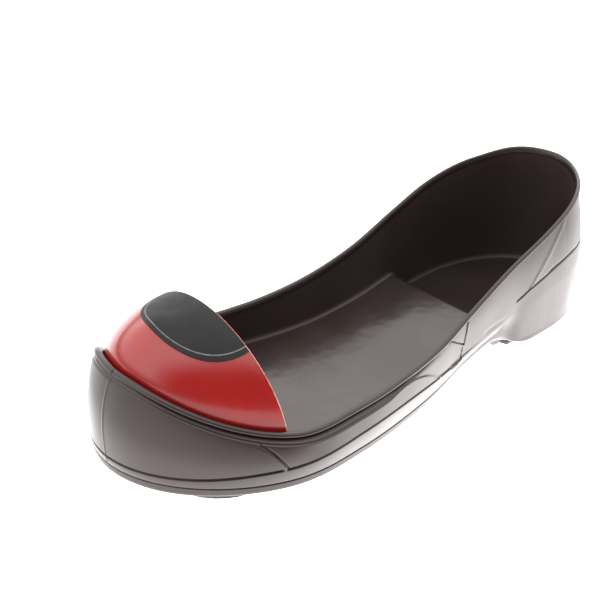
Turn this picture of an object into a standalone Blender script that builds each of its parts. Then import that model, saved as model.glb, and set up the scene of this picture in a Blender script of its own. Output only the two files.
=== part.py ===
"""Left steel toe overshoe: a moulded black tub that slips over a work shoe, with a painted steel toe cap.

All sizes below are millimetres. The foot runs along +X from heel to toe, +Y is the wearer's left (the outer
side of this left shoe) and Z = 0 is the floor under the tread.
"""

import math

import bmesh
import bpy
import numpy as np
from mathutils import Vector
from mathutils.bvhtree import BVHTree

MM = 0.001

# Driving sizes
LENGTH = 315.0
WALL = 3.0
GAP = 0.3
LUG_DEPTH = 4.0
LUG_ROOT = 1.2
EDGE_ROUND = 3.2

# Heel pocket: floor and underside step down in front of it, the sole's outer edge over a longer stretch
HEEL_FLOOR = 4.0
HEEL_UNDER = 1.4
FLOOR_STEP = (84.0, 101.0)
BREAST_STEP = (93.0, 110.0)
EDGE_STEP = (74.0, 112.0)

# Rail round the edge of the heel, almost as low as the lugs
RAIL_FOOT = 0.25
RAIL_WIDTH = 6.0
RAIL_ROUND = 0.9

# Wall and rim change along the foot: (at the heel, at the toe) and the stations between which they change
LEAN_POWER = (1.0, 2.4)
LEAN_CHANGES = (60.0, 140.0)
RIM_THICK = (2.4, 3.4)
RIM_CHANGES = (90.0, 220.0)

# The rim stands higher on the inner side: (height, stations where this starts and is full)
TOE_TWIST = (14.0, 285.0, 312.0)
HEEL_TWIST = (5.0, 34.0, 4.0)

# Relief of the wall
GROOVE_DEPTH = 1.1
GROOVE_HALF = 1.0
LEDGE_DEPTH = 0.9
LEDGE_HALF = 0.7
COUNTER_DEPTH = 0.8
FLOOR_FILLET = 3.0
FILLET_RISE = 4.0
FILLET_TOE = 0.4

# Rim bead from its outside over: (inset in shares of its thickness, further inset, depth below its top)
RIM_PROFILE = (
    (0.0, 0.4, 2.2),
    (0.0, -0.4, 1.32),
    (0.0, -0.5, 0.66),
    (0.1, 0.0, 0.15),
    (0.45, 0.0, 0.0),
    (0.85, 0.0, 0.4),
    (1.0, 0.0, 1.32),
)
RIM_INSIDE = 3.74

# Side of the sole from its seam down: (inset, inset in shares of its lower round, share of its height left)
SOLE_SIDE = (
    (0.0, 0.0, 1.0),
    (0.2, 0.0, 0.58),
    (0.0, 0.35, 0.18),
    (0.0, 1.0, 0.0),
)
RAIL_STEP = 1.0

# Steel toe cap
CAP_REAR = 257.3
CAP_REAR_LEAN = 5.7
CAP_CROWN_Z = 76.0
CAP_CROWN_DROP = 3.0
CAP_CROWN_Y = -5.0
CAP_SPINE_SHARE = 0.42
CAP_ROUND = 1.82
CAP_STEEL = 2.0
CAP_FLANGE = 7.0
CAP_SPRING_BELOW_RIM = 3.0
CAP_DOME_ROWS = 9
FILLET_ENDS = (CAP_REAR - 20.0, CAP_REAR - 8.0)

# Blank label on the cap, along its rear edge
LABEL_HALF = 29.5
LABEL_DEPTH = 27.0
LABEL_Y = -1.5
LABEL_BACK = 0.6
LABEL_FILM = 0.3
LABEL_LIFT = 0.45
LABEL_RINGS = 5
LABEL_SPOKES = 20
ABOVE_ALL = 200.0

# One row for each section of the last, with heights above the floor and insets in from the outline
#   station  from the back of the heel        centre    of the section, towards the wearer's left
#   full     half width before the ends round  rim_z     top of the rim bead
#   rim_in   inset of the rim                 ledge_z   step under the collar band, and the counter groove
#   groove_z groove above the sole's side     floor_z   inside floor, where the wall stands on the sole
#   seam_in  inset of that seam               under_z   underside of the sole between its lugs
SECTION_COLUMNS = (
    "station", "centre", "full", "rim_z", "rim_in", "ledge_z", "groove_z", "floor_z", "seam_in", "under_z",
)
SECTIONS = (
    (0, 0.0, 61.5, 74.3, 6.0, 41.5, 30.0, 17.0, 0.0, 12.5),
    (11, -0.5, 63.5, 74.0, 5.9, 41.4, 30.0, 17.0, 0.0, 12.5),
    (38, -0.7, 60.7, 69.8, 3.8, 40.6, 29.0, 17.0, 0.1, 12.5),
    (66, -0.6, 54.0, 63.0, 2.0, 38.2, 28.0, 17.0, 1.2, 12.5),
    (96, 0.6, 47.4, 54.0, 1.0, 33.6, 25.5, 17.0, 2.8, 12.5),
    (132, 3.7, 45.2, 43.1, 0.8, 32.0, 21.5, 13.4, 3.2, 9.4),
    (160, 5.0, 48.2, 36.0, 1.0, 29.5, 19.8, 9.8, 2.6, 5.4),
    (190, 4.4, 54.2, 32.0, 2.4, 27.4, 19.6, 8.6, 2.2, 4.1),
    (220, 1.9, 63.4, 30.4, 3.9, 26.1, 18.8, 8.6, 2.0, 4.0),
    (258, -0.8, 75.6, 31.3, 4.6, 27.0, 16.8, 8.6, 1.8, 4.0),
    (290, -4.4, 80.5, 41.9, 5.0, 37.5, 16.3, 9.1, 1.2, 4.4),
    (309, -4.6, 80.5, 53.6, 5.2, 49.1, 16.9, 10.6, 1.0, 5.7),
    (315, -4.6, 80.5, 58.3, 5.3, 53.8, 17.3, 11.2, 1.0, 6.6),
)
TABLE = {name: np.array([row[i] for row in SECTIONS], float) for i, name in enumerate(SECTION_COLUMNS)}

# Along the foot the columns of the mesh follow a cosine, with extra ones at the heel's breast
COLUMNS_ALONG = 46
BREAST_COLUMNS = (81.0, 111.0, 3.0)

# Where each line of the wall shows, as (starts, full, full, ends) along the foot
GROOVE_SPAN = (140.0, 150.0, 400.0, 401.0)
LEDGE_SPAN = (172.0, 192.0, 400.0, 401.0)
COUNTER_SPAN = (-2.0, -1.0, 84.0, 94.0)

# The three finishes, as (name, colour, roughness, metallic)
BLACK_PVC = ("black_pvc", (0.020, 0.016, 0.015, 1.0), 0.38, 0.0)
RED_PAINT = ("red_paint", (0.42, 0.010, 0.008, 1.0), 0.12, 0.0)
LABEL_GREY = ("label_film", (0.060, 0.056, 0.058, 1.0), 0.3, 0.0)
SHARP_ANGLE = math.radians(35.0)


def smooth_step(value, low, high):
    """0 below low, 1 above high and an S between them."""
    t = np.clip((np.asarray(value, float) - low) / (high - low), 0.0, 1.0)
    return t * t * (3.0 - 2.0 * t)


def along(name, station):
    """A column of the section table at any station, as a smooth curve through its rows."""
    knots, values = TABLE["station"], TABLE[name]
    slopes = np.gradient(values, knots)
    station = np.asarray(station, float)
    k = np.clip(np.searchsorted(knots, station) - 1, 0, len(knots) - 2)
    span = knots[k + 1] - knots[k]
    t = np.clip((station - knots[k]) / span, 0.0, 1.0)
    return (
        (1 + 2 * t) * (1 - t) ** 2 * values[k]
        + t * (1 - t) ** 2 * span * slopes[k]
        + t * t * (3 - 2 * t) * values[k + 1]
        + t * t * (t - 1) * span * slopes[k + 1]
    )


def shown(station, span):
    """1 where a line of the wall shows, fading to 0 at the ends of its span."""
    return smooth_step(station, span[0], span[1]) * (1.0 - smooth_step(station, span[2], span[3]))


def floor_height(station):
    """The inside floor, with the step down into the heel pocket."""
    return HEEL_FLOOR + (along("floor_z", station) - HEEL_FLOOR) * smooth_step(station, *FLOOR_STEP)


def under_height(station):
    """The sole's underside between its lugs, with the heel's breast."""
    return HEEL_UNDER + (along("under_z", station) - HEEL_UNDER) * smooth_step(station, *BREAST_STEP)


def half_width(station):
    """Half the outline's width: the table's fullness, rounded off at heel and toe like an ellipse."""
    reach = 2.0 * np.asarray(station, float) / LENGTH - 1.0
    return along("full", station) * np.sqrt(np.clip(1.0 - reach * reach, 0.0, 1.0))


def make_stations():
    """Stations of the mesh columns from heel to toe: close together at both ends and at the breast."""
    turn = np.linspace(0.0, math.pi, COLUMNS_ALONG + 1)
    even = LENGTH / 2.0 * (1.0 - np.cos(turn))
    low, high, step = BREAST_COLUMNS
    return np.concatenate([even[even < low - step / 2], np.arange(low, high, step), even[even > high]])


STATIONS = make_stations()
LAST = len(STATIONS) - 1
RING_STATIONS = np.concatenate([STATIONS, STATIONS[-2:0:-1]])
RING_SIDE = np.concatenate([np.ones(LAST + 1), -np.ones(LAST - 1)])
CENTRE_X = LENGTH / 2.0


def outline_ring():
    """The outline as a ring of points, out along the left and back along the right, and its normals."""
    across = along("centre", RING_STATIONS) + RING_SIDE * half_width(RING_STATIONS)
    points = np.stack([RING_STATIONS, across], 1)
    tangent = np.roll(points, -1, 0) - np.roll(points, 1, 0)
    tangent /= np.linalg.norm(tangent, axis=1)[:, None]
    return points, np.stack([-tangent[:, 1], tangent[:, 0]], 1)


OUTLINE, OUTWARD = outline_ring()
CENTRE_Y = (OUTLINE[:, 1].max() + OUTLINE[:, 1].min()) / 2.0


def ring_at(inset, height):
    """A ring of points in space: the outline moved in by inset, at a height, both of which may vary."""
    count = len(RING_STATIONS)
    flat = OUTLINE - OUTWARD * np.broadcast_to(inset, count)[:, None]
    return np.column_stack([flat, np.broadcast_to(height, count)])


def blend(pair, changes, station):
    """A size that goes from the first of a pair at the heel to the second at the toe."""
    return pair[0] + (pair[1] - pair[0]) * smooth_step(station, *changes)


def rim_thickness(station):
    """Width of the rim across its top: slim at the heel, broad round the toe."""
    return blend(RIM_THICK, RIM_CHANGES, station)


def inner_rise(twist, both_sides):
    """Height that a twist adds to the rim round the ring: up inside and down outside, or only up inside."""
    height, starts, full = twist
    towards_inner = -RING_SIDE * np.sqrt(1.0 - (2.0 * RING_STATIONS / LENGTH - 1.0) ** 2)
    if not both_sides:
        towards_inner = np.maximum(towards_inner, 0.0)
    return height * towards_inner * smooth_step(RING_STATIONS, starts, full)


TOE_RISE = inner_rise(TOE_TWIST, both_sides=False)
RING_RIM = along("rim_z", RING_STATIONS) + TOE_RISE + inner_rise(HEEL_TWIST, both_sides=True)
RING_LEDGE = along("ledge_z", RING_STATIONS) + TOE_RISE


def wall_lean(height):
    """How far the wall has leaned in from the outline at a height between its groove and its rim."""
    x = RING_STATIONS
    groove = along("groove_z", x)
    share = np.clip((height - groove) / (RING_RIM - groove), 0.0, 1.0)
    return along("rim_in", x) * share ** blend(LEAN_POWER, LEAN_CHANGES, x)


def between(low, high, share):
    """The value at a share of the way from low to high."""
    return low + (high - low) * share


def upper_rows():
    """Rings of the tub's wall: up the outside, over the rim bead and down the inside."""
    x = RING_STATIONS
    rim, rim_in, thick = RING_RIM, along("rim_in", x), rim_thickness(x)
    groove, ledge, seam_in = along("groove_z", x), RING_LEDGE, along("seam_in", x)
    floor = floor_height(x) + GAP
    groove_cut = GROOVE_DEPTH * shown(x, GROOVE_SPAN)
    ledge_cut = LEDGE_DEPTH * shown(x, LEDGE_SPAN)
    counter_cut = COUNTER_DEPTH * shown(x, COUNTER_SPAN)
    ledge_foot, ledge_top = ledge - LEDGE_HALF, ledge + LEDGE_HALF
    band_top = rim - RIM_PROFILE[0][2]

    rows = [
        (seam_in, floor),
        (0.3, groove - GROOVE_HALF),
        (0.2 + groove_cut, groove),
        (0.0, groove + GROOVE_HALF),
    ]
    for share in (0.4, 0.75):
        height = between(groove, ledge, share)
        rows.append((wall_lean(height), height))
    rows += [
        (wall_lean(ledge_foot), ledge_foot),
        (wall_lean(ledge) + counter_cut + ledge_cut * 0.6, ledge),
        (wall_lean(ledge_top) + ledge_cut, ledge_top),
    ]
    for share in (0.4, 0.75):
        height = between(ledge_top, band_top, share)
        rows.append((wall_lean(height) + ledge_cut, height))
    for share, further, drop in RIM_PROFILE:
        rows.append((rim_in + thick * share + further, rim - drop))
    inner_in, inner_top = rim_in + np.minimum(thick, WALL), rim - RIM_INSIDE
    inner_foot = floor + FILLET_RISE
    foot_in = np.maximum(seam_in * 0.6, wall_lean(inner_foot)) + WALL
    fillet = FLOOR_FILLET * (1.0 - smooth_step(x, *FILLET_ENDS))
    for share in (0.0, 0.35, 0.7, 1.0):
        rows.append((between(inner_in, foot_in, share), between(inner_top, inner_foot, share)))
    rows += [
        (foot_in + fillet * 0.3, floor + FLOOR_FILLET * 0.3),
        (foot_in + fillet + FILLET_TOE, floor),
    ]
    return [ring_at(inset, height) for inset, height in rows]


def new_object(name, build, material):
    """An object from a function that fills a bmesh in millimetres of the foot's own frame."""
    bm = bmesh.new()
    build(bm)
    for vert in bm.verts:
        vert.co = Vector((vert.co.x - CENTRE_X, vert.co.y - CENTRE_Y, vert.co.z)) * MM
    bmesh.ops.recalc_face_normals(bm, faces=bm.faces)
    mesh = bpy.data.meshes.new(name)
    bm.to_mesh(mesh)
    bm.free()
    mesh.materials.append(material)
    mesh.shade_smooth()
    mesh.set_sharp_from_angle(angle=SHARP_ANGLE)
    obj = bpy.data.objects.new(name, mesh)
    bpy.context.scene.collection.objects.link(obj)
    return obj


def finish_material(name, colour, roughness, metallic):
    """A plain finish for one kind of piece."""
    material = bpy.data.materials.new(name)
    material.use_nodes = True
    shader = material.node_tree.nodes["Principled BSDF"]
    shader.inputs["Base Color"].default_value = colour
    shader.inputs["Roughness"].default_value = roughness
    shader.inputs["Metallic"].default_value = metallic
    return material


def add_rings(bm, rings):
    """Vertices of several rings."""
    return [[bm.verts.new(point) for point in ring] for ring in rings]


def bridge(bm, lower, upper, closed=True):
    """Quads between two rows of vertices. Where two corners are the same vertex the face is a triangle."""
    count = len(lower)
    for i in range(count if closed else count - 1):
        corners = [lower[i], lower[(i + 1) % count], upper[(i + 1) % count], upper[i]]
        distinct = list(dict.fromkeys(corners))
        if len(distinct) > 2:
            bm.faces.new(distinct)


def build_upper(bm):
    """The tub's wall: one closed skin, open at the collar and underneath."""
    rows = add_rings(bm, upper_rows())
    for lower, upper in zip(rows, rows[1:] + rows[:1]):
        bridge(bm, lower, upper)


def fill_across(bm, ring, height_at, spans=4):
    """Closes a ring with strips from its left side to its right, each at the height of its station."""
    strips = []
    for i in range(1, LAST):
        left, right = ring[i], ring[-i]
        strip = [left]
        for k in range(1, spans):
            spot = left.co.lerp(right.co, k / spans)
            strip.append(bm.verts.new((spot.x, spot.y, height_at[i])))
        strips.append(strip + [right])
    for near, far in zip(strips, strips[1:]):
        bridge(bm, near, far, closed=False)
    for tip, strip in ((ring[0], strips[0]), (ring[LAST], strips[-1])):
        for a, b in zip(strip, strip[1:]):
            bm.faces.new((tip, a, b))


def build_sole_plate(bm):
    """The bent plate of the sole: round-edged forefoot, arch, breast and the heel's base with its rail."""
    x = RING_STATIONS
    seam_in, floor, under = along("seam_in", x), floor_height(x), under_height(x)
    forward = smooth_step(x, *EDGE_STEP)
    edge = RAIL_FOOT + (along("under_z", x) - RAIL_FOOT) * forward
    round_in = RAIL_ROUND + (EDGE_ROUND - RAIL_ROUND) * forward
    depth = floor - edge
    rows = [
        (seam_in + flat_in + round_in * round_share, edge + depth * left)
        for flat_in, round_share, left in SOLE_SIDE
    ]
    rows += [(seam_in + RAIL_WIDTH, edge), (seam_in + RAIL_WIDTH + RAIL_STEP, under)]
    rings = add_rings(bm, [ring_at(inset, height) for inset, height in rows])
    for lower, upper in zip(rings, rings[1:]):
        bridge(bm, lower, upper)
    fill_across(bm, rings[0], floor)
    fill_across(bm, rings[-1], under)


def thick_line(points, width):
    """The outline of a bar of constant width along a line of points in plan, with square mitred corners."""
    path = [Vector(p) for p in points]
    left, right = [], []
    for i, spot in enumerate(path):
        before = (spot - path[i - 1]).normalized() if i else None
        after = (path[i + 1] - spot).normalized() if i < len(path) - 1 else None
        heading = (before or after) + (after or before)
        heading.normalize()
        side = Vector((-heading.y, heading.x))
        stretch = 1.0 / max(0.35, abs(side.dot(Vector((-(after or before).y, (after or before).x)))))
        left.append(spot + side * width / 2 * stretch)
        right.append(spot - side * width / 2 * stretch)
    return left + right[::-1]


def add_lug(bm, outline):
    """One lug: a prism from inside the plate down to the tread's own surface."""
    top = [bm.verts.new((p.x, p.y, float(under_height(p.x)) + LUG_ROOT)) for p in outline]
    foot = [bm.verts.new((p.x, p.y, max(0.0, float(under_height(p.x)) - LUG_DEPTH))) for p in outline]
    bm.faces.new(top)
    bm.faces.new(foot[::-1])
    bridge(bm, top, foot)


def edge_point(station, side, inset):
    """A point on the sole's lower edge, moved in by inset, on the left (+1) or right (-1)."""
    reach = float(half_width(station)) - inset
    return Vector((station, float(along("centre", station)) + side * reach))


# Tread along both edges: runs of chevrons that point out and in by turns
CHEVRON_COLUMNS = ("first", "pitch", "count", "inset", "depth")
CHEVRON_RUNS = (
    (178.0, 13.0, 7, 9.5, 21.0),
    (35.0, 12.5, 5, 6.5, 14.0),
)
CHEVRON_TIP = 3.2
CHEVRON_FOOT = (2.7, 8.1)
CHEVRON_NOTCH = 0.7

# Pads under the tip of the toe and the back of the heel: (straight edge, tip, shift across, notch depth)
TOE_PAD = (268.5, 300.0, -3.0, 8.0)
HEEL_PAD = (24.0, 7.5, 0.0, -4.0)
PAD_INSET = 8.0
PAD_STEPS = 6
PAD_FULLNESS = 0.85

# Bars in the middle, as (along, across) from the middle of the forefoot or of the heel
MIDDLE_BAR = 5.0
FOREFOOT_MIDDLE = (218.0, 2.0)
FOREFOOT_BARS = (
    ((-8.0, 17.0), (-25.0, 0.0), (-10.0, -15.0), (-1.0, -6.0), (-9.0, 2.0)),
    ((8.0, -17.0), (25.0, 0.0), (10.0, 15.0), (1.0, 6.0), (9.0, -2.0)),
    ((24.0, 17.0), (38.0, 3.0), (31.0, -4.0)),
    ((-26.0, -13.0), (-36.0, -3.0), (-29.0, 4.0)),
)
HEEL_MIDDLE = (57.0, -0.5)
HEEL_BARS = (
    ((19.0, -13.0), (6.0, 0.0), (19.0, 13.0)),
    ((5.0, -13.0), (-8.0, 0.0), (5.0, 13.0)),
    ((-9.0, -13.0), (-22.0, 0.0), (-9.0, 13.0)),
)


def chevron_outlines(run, side):
    """Outlines of one run of chevrons along one edge, from its rear end forwards."""
    size = dict(zip(CHEVRON_COLUMNS, run))
    foot_in, foot_out = CHEVRON_FOOT
    for i in range(size["count"]):
        middle = size["first"] + size["pitch"] * i
        tip, feet = size["inset"], size["inset"] + size["depth"]
        if i % 2:
            tip, feet = feet, tip
        notch = feet + (tip - feet) * CHEVRON_NOTCH
        right = [(CHEVRON_TIP, tip), (foot_out, feet), (foot_in, feet)]
        left = [(-dx, inset) for dx, inset in reversed(right)]
        yield [edge_point(middle + dx, side, inset) for dx, inset in right + [(0.0, notch)] + left]


def pad_outline(pad):
    """A half-round pad: round its tip from left to right, then back along its notched straight edge."""
    straight, tip, shift, notch = pad
    middle = float(along("centre", straight)) + shift
    reach = float(half_width(straight)) - PAD_INSET
    left = []
    for k in range(PAD_STEPS):
        turn = math.pi / 2 * k / PAD_STEPS
        across = middle + reach * math.cos(turn) ** PAD_FULLNESS
        left.append(Vector((straight + (tip - straight) * math.sin(turn), across)))
    right = [Vector((p.x, 2.0 * middle - p.y)) for p in reversed(left)]
    teeth = [(0.0, -0.35), (notch, -0.15), (notch * 0.5, 0.0), (notch, 0.15), (0.0, 0.35)]
    rear = [Vector((straight + dx, middle + dy * reach)) for dx, dy in teeth]
    return left + [Vector((tip, middle))] + right + rear


def build_lugs(bm):
    """All the lugs of the tread, as separate prisms that overlap only the plate."""
    for side in (1, -1):
        for run in CHEVRON_RUNS:
            for outline in chevron_outlines(run, side):
                add_lug(bm, outline)
    for pad in (TOE_PAD, HEEL_PAD):
        add_lug(bm, pad_outline(pad))
    for middle, bars in ((FOREFOOT_MIDDLE, FOREFOOT_BARS), (HEEL_MIDDLE, HEEL_BARS)):
        for bar in bars:
            line = [(middle[0] + forward, middle[1] + across) for forward, across in bar]
            add_lug(bm, thick_line(line, MIDDLE_BAR))


def cap_columns():
    """Ring numbers of the columns that the cap spans, from just behind its rear edge round the toe."""
    first = STATIONS[STATIONS < CAP_REAR].max()
    return [i for i in range(len(RING_STATIONS)) if RING_STATIONS[i] >= first]


def cap_rows(thickness):
    """Rows of the cap's skin from its foot to its crown, at a thickness inside its outer face."""
    columns = cap_columns()
    x = RING_STATIONS[columns]
    rim, rim_in = along("rim_z", x), along("rim_in", x)
    inset = rim_in + rim_thickness(x) + GAP + thickness
    base = floor_height(x) + GAP + thickness
    flat = OUTLINE[columns] - OUTWARD[columns] * inset[:, None]
    for end, ahead in ((0, 1), (-1, -2)):
        share = (CAP_REAR - flat[end, 0]) / (flat[ahead, 0] - flat[end, 0])
        flat[end] += (flat[ahead] - flat[end]) * share
    spine_x = CAP_REAR + (x - x.min()) * CAP_SPINE_SHARE
    spine = np.column_stack([spine_x, np.full(len(x), CAP_CROWN_Y)])
    reach = (spine_x - CAP_REAR) / (LENGTH - CAP_REAR)
    crown = CAP_CROWN_Z - thickness - CAP_CROWN_DROP * (reach / CAP_SPINE_SHARE) ** 2
    spring = rim - CAP_SPRING_BELOW_RIM - thickness
    rows = [np.column_stack([flat, base]), np.column_stack([flat, spring])]
    for k in range(1, CAP_DOME_ROWS + 1):
        turn = math.pi / 2 * k / CAP_DOME_ROWS
        inwards = 1.0 - math.cos(turn) ** (2.0 / CAP_ROUND)
        upwards = math.sin(turn) ** (2.0 / CAP_ROUND)
        rows.append(np.column_stack([flat + (spine - flat) * inwards, spring + (crown - spring) * upwards]))
    for row in rows:
        rise = (row[:, 2] - spring.min()) / (CAP_CROWN_Z - spring.min())
        row[:, 0] += CAP_REAR_LEAN * np.clip(rise, 0.0, 1.0) * (1.0 - smooth_step(x, CAP_REAR, LENGTH))
    return rows


def cap_skin(bm, thickness):
    """One face of the cap: its left and right halves share the vertices of the crown."""
    rows = cap_rows(thickness)
    skin = [[bm.verts.new(point) for point in row] for row in rows[:-1]]
    crown, count = rows[-1], len(rows[-1])
    half = [bm.verts.new(point) for point in crown[: count // 2 + 1]]
    skin.append(half + half[-2::-1])
    for lower, upper in zip(skin, skin[1:]):
        bridge(bm, lower, upper, closed=False)
    return skin


def build_cap(bm):
    """The steel cap: a domed shell open at the back, on a flange that turns in over the floor."""
    outer, inner = cap_skin(bm, 0.0), cap_skin(bm, CAP_STEEL)
    columns = cap_columns()
    x = RING_STATIONS[columns]
    turned_in = along("rim_in", x) + rim_thickness(x) + GAP + CAP_FLANGE
    flat = OUTLINE[columns] - OUTWARD[columns] * turned_in[:, None]
    flat[:, 0] = np.maximum(flat[:, 0], CAP_REAR)
    bottom = floor_height(x) + GAP
    lip_top = [bm.verts.new((p[0], p[1], z + CAP_STEEL)) for p, z in zip(flat, bottom)]
    lip_foot = [bm.verts.new((p[0], p[1], z)) for p, z in zip(flat, bottom)]
    for lower, upper in ((inner[0], lip_top), (lip_top, lip_foot), (lip_foot, outer[0])):
        bridge(bm, lower, upper, closed=False)
    left = [row[0] for row in outer] + [row[-1] for row in outer][-2::-1]
    left_inner = [row[0] for row in inner] + [row[-1] for row in inner][-2::-1]
    bridge(bm, left, left_inner, closed=False)
    for end in (0, -1):
        bm.faces.new((outer[0][end], inner[0][end], lip_top[end], lip_foot[end]))


def label_rows(cap_tree, rear_edge, lift):
    """Points of one face of the label, ring by ring out from the middle of its straight side."""
    down = Vector((0.0, 0.0, -1.0))
    rows = []
    for ring in range(LABEL_RINGS + 1):
        share = ring / LABEL_RINGS
        row = []
        for spoke in range(LABEL_SPOKES + 1):
            turn = math.pi * spoke / LABEL_SPOKES - math.pi / 2
            across = LABEL_Y + LABEL_HALF * share * math.sin(turn)
            rear = float(np.interp(across, rear_edge[:, 1], rear_edge[:, 0])) + LABEL_BACK
            start = Vector((rear + LABEL_DEPTH * share * math.cos(turn), across, ABOVE_ALL))
            hit, normal, _, _ = cap_tree.ray_cast(start, down)
            up = normal if normal.z > 0 else -normal
            row.append(hit + up * lift)
        rows.append(row)
    return rows


def label_face(bm, rows):
    """One face of the label as a grid of vertices, whose middle is a single vertex."""
    centre = bm.verts.new(rows[0][LABEL_SPOKES // 2])
    grid = [[centre] * (LABEL_SPOKES + 1)] + add_rings(bm, rows[1:])
    for lower, upper in zip(grid, grid[1:]):
        bridge(bm, lower, upper, closed=False)
    return grid


def straight_side(grid):
    """Vertices along the straight side of one face of the label."""
    return [row[0] for row in grid[:0:-1]] + [grid[0][0]] + [row[-1] for row in grid[1:]]


def build_label(bm):
    """A blank half-round label on the crown: a film that follows the cap, its straight side at the rear."""
    cap = bmesh.new()
    cap_skin(cap, 0.0)
    cap.normal_update()
    tree = BVHTree.FromBMesh(cap)
    rows = cap_rows(0.0)
    rear_edge = np.array([row[-1] for row in rows[1:]] + [row[0] for row in rows[-2:0:-1]])
    below = label_face(bm, label_rows(tree, rear_edge, LABEL_LIFT))
    above = label_face(bm, label_rows(tree, rear_edge, LABEL_LIFT + LABEL_FILM))
    bridge(bm, below[-1], above[-1], closed=False)
    bridge(bm, straight_side(below), straight_side(above), closed=False)
    cap.free()


def union(base, other):
    """Joins another closed mesh onto base and removes it."""
    modifier = base.modifiers.new("join_" + other.name, "BOOLEAN")
    modifier.operation = "UNION"
    modifier.solver = "EXACT"
    modifier.object = other
    bpy.context.view_layer.update()
    joined = bpy.data.meshes.new_from_object(base.evaluated_get(bpy.context.evaluated_depsgraph_get()))
    base.modifiers.clear()
    base.data = joined
    bpy.data.objects.remove(other)


def main():
    for old in list(bpy.data.objects):
        bpy.data.objects.remove(old)
    pvc = finish_material(*BLACK_PVC)
    paint = finish_material(*RED_PAINT)
    film = finish_material(*LABEL_GREY)
    new_object("upper", build_upper, pvc)
    outsole = new_object("outsole", build_sole_plate, pvc)
    union(outsole, new_object("lugs", build_lugs, pvc))
    new_object("toe_cap", build_cap, paint)
    new_object("toe_label", build_label, film)


main()
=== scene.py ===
"""Looks of the left steel toe overshoe: moulded black tub, red enamelled steel cap and its blank label.

Sizes are millimetres in the foot's own frame (heel at 0, toe at LENGTH) until a mesh is made, which is in
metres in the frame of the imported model. +Y is the wearer's left, the outer side of this left shoe.
"""

import math

import bmesh
import bpy
import numpy as np
from mathutils import Matrix, Vector
from mathutils.bvhtree import BVHTree


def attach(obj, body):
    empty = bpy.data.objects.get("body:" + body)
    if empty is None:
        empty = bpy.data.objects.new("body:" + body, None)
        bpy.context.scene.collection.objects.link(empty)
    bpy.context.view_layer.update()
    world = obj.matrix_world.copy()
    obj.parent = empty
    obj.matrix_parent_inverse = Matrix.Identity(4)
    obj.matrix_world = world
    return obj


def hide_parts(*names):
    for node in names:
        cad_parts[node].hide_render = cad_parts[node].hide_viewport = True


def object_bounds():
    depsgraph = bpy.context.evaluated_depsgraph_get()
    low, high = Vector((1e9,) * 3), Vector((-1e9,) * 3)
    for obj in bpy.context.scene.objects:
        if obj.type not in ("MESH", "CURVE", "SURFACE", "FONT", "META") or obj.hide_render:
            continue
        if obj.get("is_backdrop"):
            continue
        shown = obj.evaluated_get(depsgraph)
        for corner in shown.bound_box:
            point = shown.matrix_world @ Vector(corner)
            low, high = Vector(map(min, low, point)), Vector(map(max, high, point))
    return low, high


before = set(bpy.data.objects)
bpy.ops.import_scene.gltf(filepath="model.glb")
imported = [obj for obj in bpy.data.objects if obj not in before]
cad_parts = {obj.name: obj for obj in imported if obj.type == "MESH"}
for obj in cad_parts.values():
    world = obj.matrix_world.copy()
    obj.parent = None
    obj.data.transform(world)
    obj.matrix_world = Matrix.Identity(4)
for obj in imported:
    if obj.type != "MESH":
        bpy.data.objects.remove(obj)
CAD_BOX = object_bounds()

MM = 0.001
LENGTH = 315.0
WALL = 3.0
GAP = 0.3

# Heel pocket: floor and underside step down at its front, the sole's outer edge over a longer stretch
HEEL_FLOOR = 4.0
HEEL_UNDER = 1.4
FLOOR_STEP = (84.0, 101.0)
BREAST_STEP = (93.0, 110.0)
EDGE_STEP = (74.0, 112.0)

# Rail round the edge of the heel
RAIL_FOOT = 0.25
RAIL_WIDTH = 6.0
RAIL_ROUND = 0.9

# Wall and rim change along the foot: (at the heel, at the toe) and the stations between which they change
LEAN_POWER = (1.2, 2.4)
LEAN_CHANGES = (60.0, 140.0)
RIM_THICK = (2.4, 3.4)
RIM_CHANGES = (90.0, 220.0)

# The rim stands higher on the inner side: (height, stations where this starts and is full)
TOE_TWIST = (14.0, 285.0, 312.0)
HEEL_TWIST = (5.0, 34.0, 4.0)

# The parting line between wall and sole shows in front of the heel only
PARTING_SHOWS = (104.0, 128.0)
CLOSED_GAP = 0.02
PARTING_ROUND = 0.25

# Relief of the wall: groove with two breaks and a dip at the toe, step below it, ledge, recess above that
GROOVE_DEPTH = 1.1
GROOVE_HALF = 1.0
GROOVE_CUT_HALF = 0.78
GROOVE_STARTS = (150.0, 155.0)
GROOVE_BREAKS = (161.3, 264.0)
BREAK_HALF = 0.7
GROOVE_DIP = 1.2
GROOVE_DIPS = (268.0, 298.0)
STEP_BELOW = 0.25
STEP_STARTS = (140.0, 160.0)
UNDERCUT_POWER = 1.5
LEDGE_DEPTH = 0.6
LEDGE_HALF = 0.9
LEDGE_LIFT = -0.5
LEDGE_STARTS = (176.0, 196.0)
RECESS_STARTS = (118.0, 150.0)
RECESS_EDGE = 0.25
RECESS_FOOT = 0.8

# The lip: its height, and how far in the wall's top stands below it at the heel and at the toe
RIM_LIP = 2.45
LIP_FOOT = (0.55, 1.5)

# A dip low in the side at the heel's front: (station, half length, depth), and the heights where it fades
HEEL_BLOCK = (92.0, 7.0, 0.6)
BLOCK_FADES = (22.0, 36.0)

# Inside of the wall: its foot is rounded into the floor, less so under the cap
FLOOR_FILLET = 1.6
FILLET_LEAST = 0.4
FILLET_RISE = 1.0
FILLET_FADES = (237.3, 249.3)
FOOT_SEAM_SHARE = 0.6

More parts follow.
